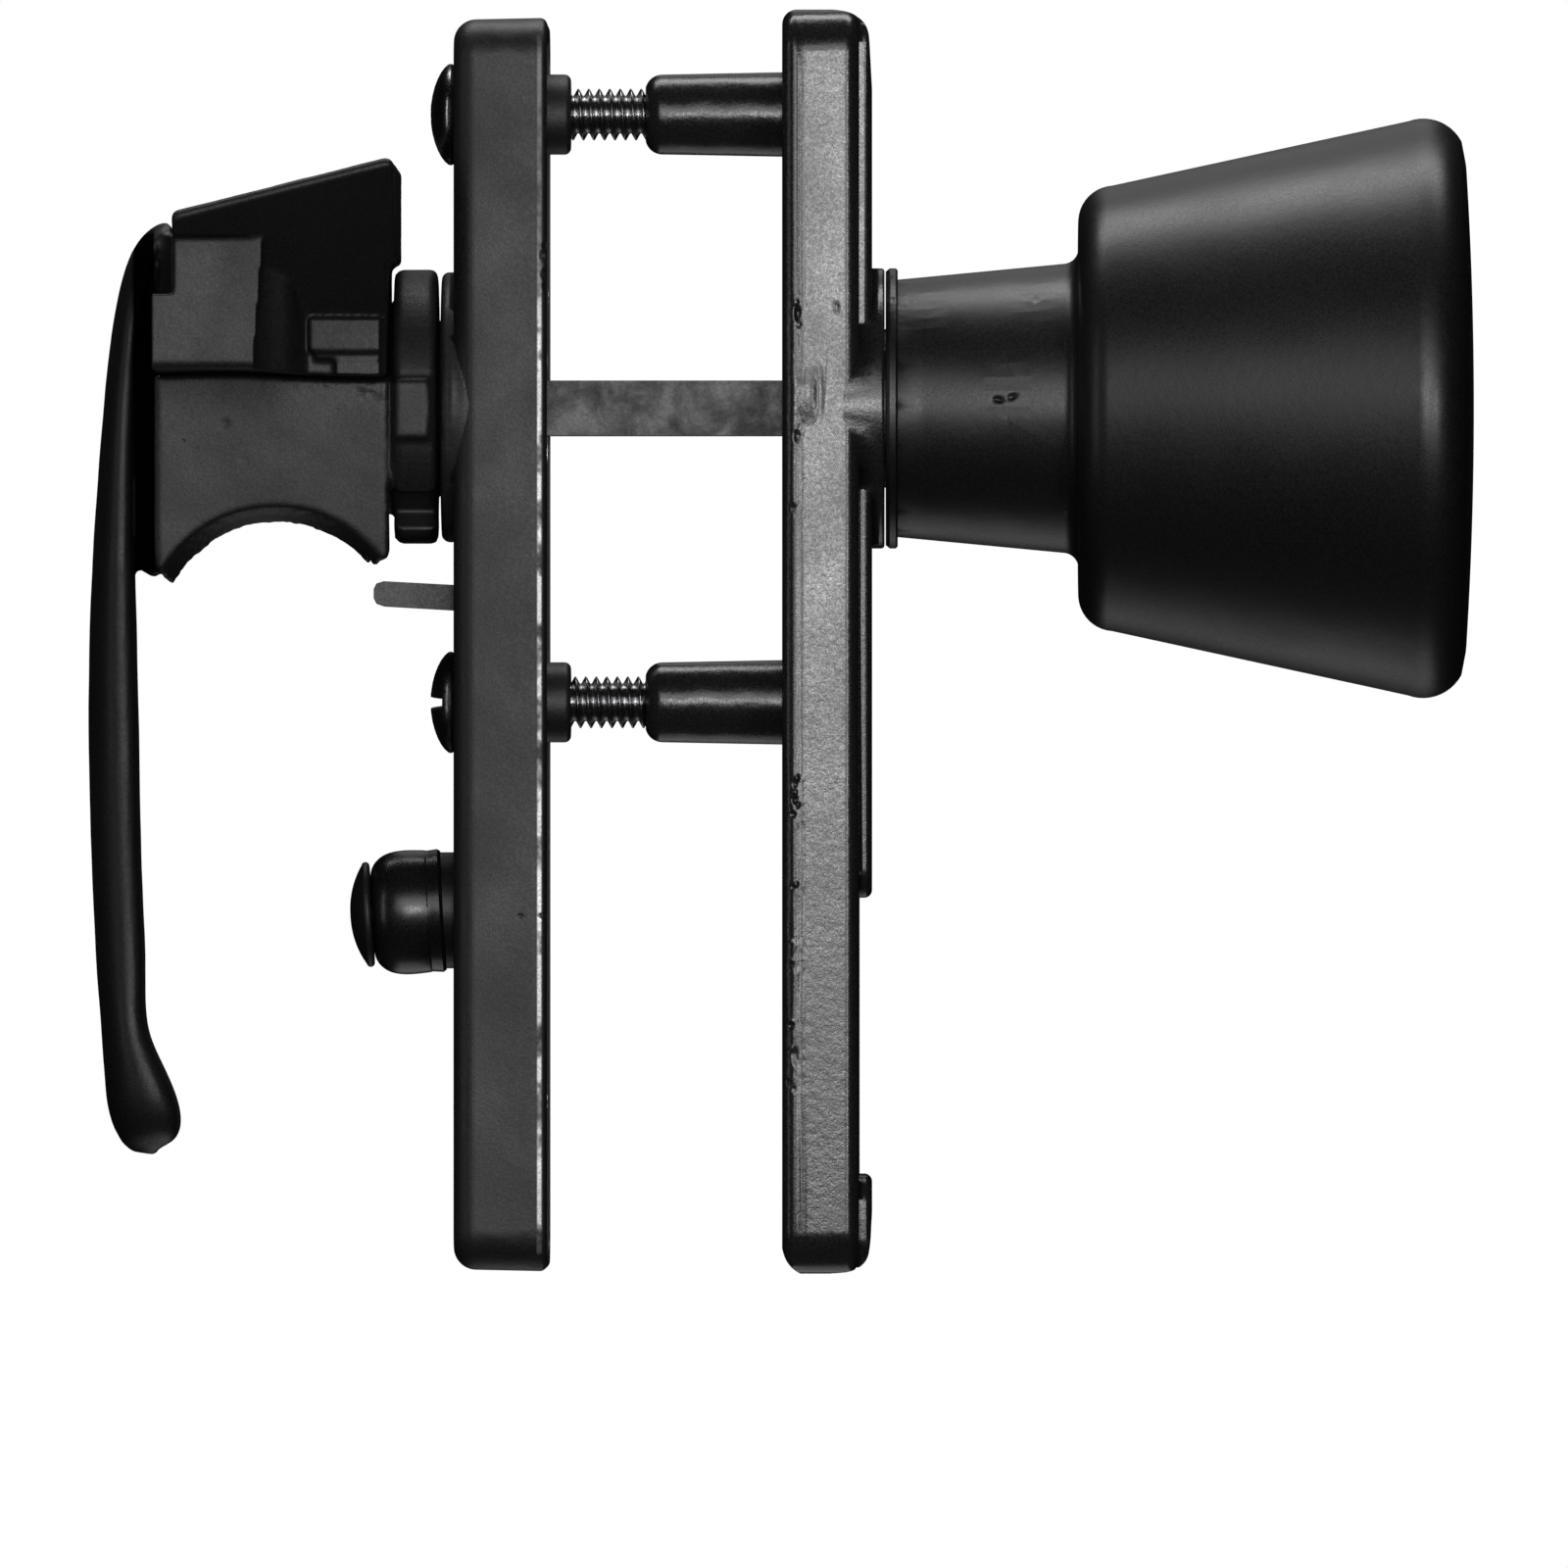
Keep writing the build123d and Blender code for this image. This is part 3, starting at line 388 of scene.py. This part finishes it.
# Screws: a real number 8 thread, 32 turns to the inch, and domed slotted heads
pitch, crest_r, root_r = 0.79375, 1.96, 1.43
screw_me = bpy.data.meshes.new("screws_threaded")
sb = bmesh.new()
for cz, x_crest, turn in ((22.225, 2.24, 62.0), (-22.225, 2.02, 0.0)):
    x0, x1, per, nt = -2.2, 18.25, 16, 48
    nx = int(round((x1 - x0) / pitch * per))
    xs = np.linspace(x0, x1, nx + 1)
    th = np.arange(nt) * 2 * math.pi / nt
    X, T = np.meshgrid(xs, th, indexing="ij")
    ph = ((X - x_crest) / pitch - (T - math.pi / 2) / (2 * math.pi)) % 1.0
    d = np.minimum(ph, 1 - ph)
    prof = np.clip((d - 0.055) / (0.42 - 0.055), 0, 1)
    R = crest_r - (crest_r - root_r) * prof
    start = np.clip((X - (-1.6)) / 0.8, 0, 1)
    R = (1 - start) * 1.72 + start * R
    end = np.clip((18.25 - X) / 0.9, 0, 1)
    R = R * (0.72 + 0.28 * end)
    rings = [[sb.verts.new((xs[i] * MM, R[i, j] * math.cos(th[j]) * MM, (cz + R[i, j] * math.sin(th[j])) * MM))
              for j in range(nt)] for i in range(nx + 1)]
    for i in range(nx):
        for j in range(nt):
            k = (j + 1) % nt
            sb.faces.new((rings[i][j], rings[i][k], rings[i + 1][k], rings[i + 1][j]))
    for ring, x, flip in ((rings[0], xs[0], True), (rings[-1], xs[-1], False)):
        c = sb.verts.new((x * MM, 0, cz * MM))
        for j in range(nt):
            k = (j + 1) % nt
            sb.faces.new((ring[k], ring[j], c) if flip else (ring[j], ring[k], c))
bmesh.ops.recalc_face_normals(sb, faces=sb.faces)
sb.to_mesh(screw_me)
sb.free()
threads = add_mesh("screws_threaded", screw_me, "case", [screw_m.mat])
screw_me.set_sharp_from_angle(angle=math.radians(50))
heads = bpy.data.meshes.new("screw_heads")
hb = bmesh.new()
for cz, turn in ((22.225, 62.0), (-22.225, 4.0)):
    head = bmesh.new()
    na = 96
    line = [(-7.09, 0.0), (-7.09, 3.62), (-7.20, 3.78), (-7.38, 3.85), (-7.58, 3.80), (-7.86, 3.56), (-8.14, 3.18), (-8.40, 2.68),
            (-8.62, 2.1), (-8.79, 1.45), (-8.90, 0.75), (-8.94, 0.0)]
    rows = []
    for x, r in line:
        if r == 0:
            rows.append([head.verts.new((x * MM, 0, cz * MM))])
        else:
            rows.append([head.verts.new((x * MM, r * math.cos(t) * MM, (cz + r * math.sin(t)) * MM))
                         for t in np.arange(na) * 2 * math.pi / na])
    for r0, r1 in zip(rows, rows[1:]):
        for j in range(na):
            k = (j + 1) % na
            if len(r0) == 1:
                head.faces.new((r0[0], r1[k], r1[j]))
            elif len(r1) == 1:
                head.faces.new((r0[j], r0[k], r1[0]))
            else:
                head.faces.new((r0[j], r0[k], r1[k], r1[j]))
    bmesh.ops.recalc_face_normals(head, faces=head.faces)
    ho = to_object(head, "head_work")
    slot_bm = bmesh.new()
    bmesh.ops.create_cube(slot_bm, size=1.0)
    bmesh.ops.scale(slot_bm, vec=(2.2 * MM, 9.0 * MM, 0.92 * MM), verts=slot_bm.verts)
    bmesh.ops.rotate(slot_bm, cent=(0, 0, 0), matrix=Matrix.Rotation(math.radians(turn), 3, "X"), verts=slot_bm.verts)
    bmesh.ops.translate(slot_bm, vec=((-8.0 - 1.1) * MM, 0, cz * MM), verts=slot_bm.verts)
    so = to_object(slot_bm, "slot_work")
    bo = ho.modifiers.new("slot", "BOOLEAN")
    bo.operation, bo.object, bo.solver = "DIFFERENCE", so, "EXACT"
    got = evaluated(ho)
    drop(ho)
    drop(so)
    hb.from_mesh(got)
    bpy.data.meshes.remove(got)
hb.to_mesh(heads)
hb.free()
head_ob = add_mesh("screw_heads", heads, "case", [screw_m.mat])
heads.set_sharp_from_angle(angle=math.radians(35))
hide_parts("mounting_screws")
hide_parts("mounting_screws")

# Nose: finely meshed, its foot follows the uneven seam
nose_me = fine_copy("latch_nose", 0.19, 2)


def seam_line(x):
    """Height of the seam between nose and block, left to right (mm)."""
    return np.interp(x, [-29.6, -27.5, -25.0, -22.5, -20.5, -18.3, -15.5, -13.5, -12.0],
                     [2.40, 2.47, 2.52, 2.50, 2.36, 2.22, 2.13, 2.10, 2.15])


p = coords(nose_me)
n = normals(nose_me)
front = p[:, 1] < -8.5
foot = np.clip(1 - (p[:, 2] - 2.39) / 1.3, 0, 1) * front
lift = seam_line(p[:, 0]) + 0.10 + 0.04 * fuzz(p, 0.9, 3.1) - 2.39
p[:, 2] += foot * lift
# the shoulder's lower edge is worn back and round
low = np.clip(1 - (p[:, 2] - 2.5) / 0.75, 0, 1) ** 2 * (p[:, 1] < -18.3) * (p[:, 0] < -21)
p[:, 1] += 0.42 * low
# casting swells a little
p += n * (0.035 * fuzz(p, 0.33, 7.7) + 0.012 * fuzz(p, 1.7, 1.3))[:, None]
set_coords(nose_me, p)
nose_fine = add_mesh("latch_nose_fine", nose_me, "handle", [nose_m.mat])
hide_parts("latch_nose")

# Handle: the same, with the seam edge, pits and sand marks near it, and the rough parting line in the scallop
handle_me = fine_copy("latch_handle", 0.252, 1)
p = coords(handle_me)
n = normals(handle_me)
block = (p[:, 0] > -29.8) & (p[:, 0] < -11.6) & (np.abs(p[:, 1]) > 8.2) & (p[:, 2] > -13.5)
top = np.clip(1 - (2.25 - p[:, 2]) / 1.3, 0, 1) * block
p[:, 2] += top * (seam_line(p[:, 0]) - 0.12 + 0.05 * fuzz(p, 1.1, 9.2) - 2.25)
near_face = block & (p[:, 1] < -8.6)
q = p.copy()


def px(x, y):
    """A place on the near face, from its place in the view (mm)."""
    return (17.8 + (x - 800) * 0.0738, -9.0, -28.4 + (800 - y) * 0.0738)


dent = np.zeros(len(p))
for x, y, r, depth in ((230, 433, 0.34, 0.16), (221, 447, 0.2, 0.05), (368, 401, 0.26, 0.14), (376, 397, 0.2, -0.10),
                       (381, 405, 0.26, 0.13), (388, 396, 0.24, 0.12), (393, 402, 0.22, -0.12), (374, 410, 0.22, 0.12),
                       (385, 413, 0.2, 0.10), (366, 408, 0.16, -0.08), (333, 437, 0.24, 0.06), (360, 452, 0.3, 0.05),
                       (250, 470, 0.35, 0.04), (300, 395, 0.22, 0.08), (313, 397, 0.2, 0.07)):
    dent -= depth * ball(q, px(x, y), (r * 1.25, 1.2, r * 1.25))
for x, y, r, up in ((272, 391, 0.24, 0.14), (335, 392, 0.26, 0.16), (355, 462, 0.18, 0.06)):
    dent += up * ball(q, px(x, y), (r, 1.2, r))
rough_zone = np.clip(1 - np.abs(p[:, 2] - 1.1) / 2.2, 0, 1) * np.clip((p[:, 0] + 16.2) / 2.5, 0, 1) * near_face
idx = np.where(rough_zone > 0.02)[0]
dent[idx] += 0.10 * rough_zone[idx] * fuzz(p[idx], 2.6, 4.4)
p[:, 1] -= np.where(near_face, dent, 0)
# right edge of the block, nibbled
edge = block & (p[:, 0] > -12.5) & (p[:, 1] < -8.2)
idx = np.where(edge)[0]
p[idx, 0] += 0.09 * fuzz(p[idx] * np.array([0, 0, 1.0]), 1.5, 5.0) + 0.05 * fuzz(p[idx] * np.array([0, 0, 1.0]), 4.1, 2.0)
# parting line in the scallop: an uneven ridge of flash across its middle, striations beside it
dx, dz = p[:, 0] + 20.5, p[:, 2] + 17.55
rad = np.hypot(dx, dz)
in_scallop = (rad < 10.35) & (rad > 8.6) & (dz > 2.0) & (np.abs(p[:, 1]) < 8.9)
idx = np.where(in_scallop)[0]
ang = np.degrees(np.arctan2(dx[idx], dz[idx]))
yy = p[idx, 1]
arc = np.stack([ang * 0.17, np.zeros(len(idx)), np.full(len(idx), 3.0)], axis=1)
ridge = np.exp(-((yy + 1.6 + 0.5 * fuzz(arc, 0.8, 6.0)) / 0.55) ** 2) * (0.12 + 0.10 * fuzz(arc, 2.2, 1.0))
ridge += np.exp(-((yy + 5.6) / 0.5) ** 2) * 0.10 * np.clip((-ang - 22) / 12, 0, 1) * (1 + fuzz(arc, 3.0, 8.0))
both = np.stack([ang * 0.17, yy, np.zeros(len(idx))], axis=1)
ridge += 0.05 * fuzz(both, 2.3, 3.3) + 0.03 * fuzz(both, 5.0, 6.1)
p[idx, 0] -= ridge * dx[idx] / rad[idx]
p[idx, 2] -= ridge * dz[idx] / rad[idx]
# the whole casting swells a little
p += n * (0.03 * fuzz(p, 0.31, 2.2))[:, None]
set_coords(handle_me, p)
handle_fine = add_mesh("latch_handle_fine", handle_me, "handle", [cast.mat])
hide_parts("latch_handle")

# Outside plate: dings along its near rear edge
bm = copy_of("outside_escutcheon")
slice_boxes(bm, [((18.45, -10.7, -66.0), (19.45, -9.0, 30.5), (0.1, 0)),
                 ((17.71, -10.7, -29.2), (19.6, -9.0, -27.6), 0.12), ((17.71, -10.7, -32.0), (19.6, -9.0, -29.3), 0.12),
                 ((17.71, -10.7, -37.0), (19.6, -9.0, -35.4), 0.14), ((17.71, -10.7, -43.0), (19.6, -9.0, -39.6), 0.14),
                 ((17.71, -10.7, -52.0), (19.6, -9.0, -46.0), 0.14), ((17.71, -10.7, -8.6), (19.6, -9.0, -7.0), 0.16),
                 ((17.71, -10.7, -2.9), (20.9, -9.0, 8.6), 0.16), ((21.3, -10.7, 6.2), (22.2, -9.0, 8.4), 0.16)])
op_ob = to_object(bm, "outside_escutcheon_fine")
me = op_ob.data
p = coords(me)


def edge_px(x, y, out=-10.3):
    return (17.8 + (x - 800) * 0.0738, out, -28.4 + (800 - y) * 0.0738)


side = p[:, 1] < -8.9
push = np.zeros(len(p))
for x, y, rx, rz, depth in ((814.5, 321, 0.30, 0.62, 0.30), (813, 310, 0.3, 0.3, -0.10), (816, 333, 0.3, 0.3, -0.12),
                            (825, 404, 1.15, 2.3, -0.16), (836, 402, 0.45, 2.1, 0.12), (814, 446, 0.34, 0.5, 0.22),
                            (810, 520, 0.4, 0.4, 0.2), (854, 315, 0.22, 0.5, 0.10),
                            (814, 795, 0.24, 0.30, -0.16), (812, 801, 0.26, 0.30, 0.22), (812, 809, 0.22, 0.24, -0.15),
                            (812, 817, 0.28, 0.34, 0.28), (815, 822, 0.2, 0.3, -0.14), (810, 832, 0.30, 0.26, 0.24),
                            (813, 903, 0.26, 0.26, -0.14), (810, 906, 0.3, 0.22, 0.2), (808, 961, 0.2, 0.2, -0.10),
                            (809, 980, 0.24, 0.24, -0.13), (808, 985, 0.24, 0.22, 0.16), (807, 1042, 0.28, 0.22, -0.12),
                            (808, 1047, 0.3, 0.26, 0.24), (812, 1078, 0.34, 0.75, 0.20), (808, 1070, 0.2, 0.3, -0.10),
                            (806, 1105, 0.26, 0.3, 0.16), (811, 1112, 0.24, 0.3, 0.12)):
    wob = 1 + 0.5 * fuzz(p[:1] * 0 + np.array([x, 0.0, y]), 0.37, 1.9)[0]
    soft = 0.55 if rx < 0.9 else 1.0
    push += soft * depth * wob * ball(p, edge_px(x, y), (rx * 1.15, 1.6, rz * (0.8 + 0.4 * wob)))
push = np.where(side, push, 0)
# the rear edge stands a little proud along the whole plate
t = np.clip((p[:, 0] - 18.5) / 0.85, 0, 1)
lip = np.where(side & (p[:, 0] < 19.6), 0.13 * (1 - t * t * (3 - 2 * t)), 0)
idx = np.where(side & (p[:, 0] < 19.4))[0]
push[idx] += 0.018 * fuzz(p[idx] * np.array([1.0, 0.3, 1.0]), 2.1, 4.0)
p[:, 1] += push - lip
p[:, 0] += np.where(p[:, 0] < 18.6, 0.4 * push, 0)
set_coords(me, p)
me.materials.append(outside.mat)
me.polygons.foreach_set("use_smooth", [True] * len(me.polygons))
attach(op_ob, "case")
weighted(op_ob)
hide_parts("outside_escutcheon")

# Inside plate: chips and a nick in its rear edge
bm = copy_of("inside_escutcheon")
slice_boxes(bm, [((-1.12, -10.7, -66.0), (-0.5, -9.4, 30.5), (0.08, 0)),
                 ((-8.3, -10.7, -4.6), (-5.4, -9.3, 6.8), (0.2, 0.35)),
                 ((-1.0, -10.7, 8.0), (-0.02, -9.6, 13.2), 0.14), ((-2.6, -10.7, -39.2), (-0.02, -9.6, -37.6), 0.12)])
ip_ob = to_object(bm, "inside_escutcheon_fine")
me = ip_ob.data
p = coords(me)
push = np.zeros(len(p))
for x, y, rx, rz, depth in ((462, 398, 1.15, 5.2, -0.26), (457, 398, 0.5, 4.4, 0.10), (557, 252, 0.32, 0.30, 0.16), (555, 262, 0.34, 0.5, 0.20), (558, 272, 0.3, 0.34, -0.06), (556, 281, 0.36, 0.5, 0.2),
                            (557, 293, 0.3, 0.4, 0.14), (532, 935, 0.3, 0.16, 0.12), (555, 935, 0.5, 0.18, 0.16), (556, 900, 0.3, 0.5, 0.08)):
    push += depth * ball(p, edge_px(x, y), (rx, 1.6, rz))
push = np.where(p[:, 1] < -9.3, push, 0)
t = np.clip((p[:, 0] + 1.1) / 0.6, 0, 1)
ease = np.where((p[:, 1] < -9.0) & (p[:, 0] > -1.11), 0.08 * t * t * (3 - 2 * t), 0)
p[:, 1] += push + ease
p[:, 0] -= np.where(p[:, 0] > -0.45, 0.5 * push, 0)
set_coords(me, p)
me.materials.append(plate.mat)
me.polygons.foreach_set("use_smooth", [True] * len(me.polygons))
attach(ip_ob, "case")
weighted(ip_ob)
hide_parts("inside_escutcheon")

# Return spring: one leg stays with the plate, the other turns with the hub, the coil winds between them
sp_ob = to_object(copy_of("handle_return_spring"), "handle_return_spring_wound")
sp_ob.data.materials.append(spring_m.mat)
sp_ob.data.polygons.foreach_set("use_smooth", [True] * len(sp_ob.data.polygons))
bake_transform(sp_ob)
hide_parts("handle_return_spring")

# Knob body: two slanted dings and small pits in the neck, a mark on the flare
bm = copy_of("knob_body")
slice_boxes(bm, [((33.0, -11.5, -0.6), (36.2, -9.0, 2.2), 0.16), ((25.5, -9.5, 6.4), (28.6, -5.0, 9.4), 0.2),
                 ((36.4, -10.5, 6.6), (37.6, -5.0, 9.0), 0.2)])
kn_ob = to_object(bm, "knob_body_fine")
me = kn_ob.data
p = coords(me)
push = np.zeros(len(p))


def neck_at(x, y, r):
    z = (408.5 - y) * 0.0741
    return (17.8 + (x - 800) * 0.0738, -math.sqrt(max(r * r - z * z, 0)), z)


for x, y, depth, rr in ((1020, 403, 0.16, (0.62, 1.2, 0.26)), (1017, 401, 0.1, (0.4, 1.2, 0.2)), (1032, 400, 0.18, (0.42, 1.2, 0.28)),
                        (1036, 398, 0.1, (0.3, 1.2, 0.2)), (912, 300, 0.12, (0.26, 1.5, 0.2)), (922, 307, 0.12, (0.2, 1.5, 0.2)),
                        (929, 301, 0.1, (0.24, 1.5, 0.16)), (1058, 300, 0.1, (0.3, 1.5, 0.2))):
    push += depth * ball(p, neck_at(x, y, 10.4), rr)
push = np.where(p[:, 1] < -3.0, push, 0)
# the flange nearly touches the boss
p[:, 0] -= np.where((np.abs(p[:, 0] - 25.6) < 0.04) & (np.hypot(p[:, 1], p[:, 2]) > 8.0), 0.11, 0)
rn = np.hypot(p[:, 1], p[:, 2]) + 1e-9
p[:, 1] -= push * p[:, 1] / rn
p[:, 2] -= push * p[:, 2] / rn
set_coords(me, p)
me.materials.append(knob_m.mat)
me.polygons.foreach_set("use_smooth", [True] * len(me.polygons))
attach(kn_ob, "knob")
weighted(kn_ob)
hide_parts("knob_body")


# ---------------------------------------------------------------------------
# Stage, light and camera
# ---------------------------------------------------------------------------
def area(name, at, to, sx, sy, watts, shape="RECTANGLE"):
    d = bpy.data.lights.new(name, "AREA")
    d.shape = shape
    d.size = sx
    if shape == "RECTANGLE":
        d.size_y = sy
    d.energy = watts
    o = bpy.data.objects.new(name, d)
    scene.collection.objects.link(o)
    o.location = at
    o.rotation_mode = "QUATERNION"
    o.rotation_quaternion = (Vector(to) - Vector(at)).to_track_quat("-Z", "Y")
    o.visible_camera = False
    return o


floor_z = -2.60
fm = bpy.data.meshes.new("floor")
fm.from_pydata([(-3, -3, floor_z), (3, -3, floor_z), (3, 3, floor_z), (-3, 3, floor_z)], [], [(0, 1, 2, 3)])
floor = bpy.data.objects.new("floor", fm)
scene.collection.objects.link(floor)
fl = Graph("floor_pale")
fl.set(Base_Color=fl.grey(fl.noise(9, 2.0), 0.80, 0.83), Roughness=0.7)
fm.materials.append(fl.mat)

world = bpy.data.worlds.new("studio")
scene.world = world
world.use_nodes = True
wt = world.node_tree
wt.nodes.clear()
wo = wt.nodes.new("ShaderNodeOutputWorld")
seen = wt.nodes.new("ShaderNodeBackground")
seen.inputs["Color"].default_value = (1, 1, 1, 1)
seen.inputs["Strength"].default_value = 1.0
lit = wt.nodes.new("ShaderNodeBackground")
lit.inputs["Color"].default_value = (1, 1, 1, 1)
lit.inputs["Strength"].default_value = 0.003
lp = wt.nodes.new("ShaderNodeLightPath")
mx = wt.nodes.new("ShaderNodeMixShader")
wt.links.new(lp.outputs["Is Camera Ray"], mx.inputs[0])
wt.links.new(lit.outputs[0], mx.inputs[1])
wt.links.new(seen.outputs[0], mx.inputs[2])
wt.links.new(mx.outputs[0], wo.inputs["Surface"])

mid = Vector((17.8 * MM, 0, -28.4 * MM))
area("key_core", (0.02, -0.80, 0.02), (0.018, 0, -0.01), 0.07, 0.05, 1.0)
area("key_wide", (0.00, -0.75, 0.16), (0.018, 0, 0.0), 0.50, 0.34, 1.6)
area("top_soft", (0.02, 0.20, 0.62), (0.018, 0, -0.01), 0.70, 0.22, 2.9)
area("sweep_low", (0.03, 0.36, -0.49), (0.025, 0, -0.01), 0.26, 0.44, 0.22)
area("sweep_high", (0.03, 0.50, 0.34), (0.025, 0, -0.01), 0.22, 0.30, 0.10)
area("key_right", (0.357, -0.834, 0.0), (0.018, 0, 0.0), 0.10, 0.12, 1.3)
area("side_left", (-0.60, -0.30, 0.05), (0.02, 0, 0.0), 0.10, 0.50, 0.35)

cam_d = bpy.data.cameras.new("camera")
cam = bpy.data.objects.new("camera", cam_d)
scene.collection.objects.link(cam)
scene.camera = cam
az, el, dist = math.radians(0.3), math.radians(-0.3), 2.0
back = Vector((math.sin(az) * math.cos(el), -math.cos(az) * math.cos(el), math.sin(el)))
cam.location = mid + back * dist
cam.rotation_mode = "QUATERNION"
cam.rotation_quaternion = (-back).to_track_quat("-Z", "Y")
cam_d.sensor_width = 36
cam_d.lens = 36 * dist / 0.11856
cam_d.clip_start, cam_d.clip_end = 0.1, 20

scene.view_settings.view_transform = "Standard"
scene.view_settings.look = "None"
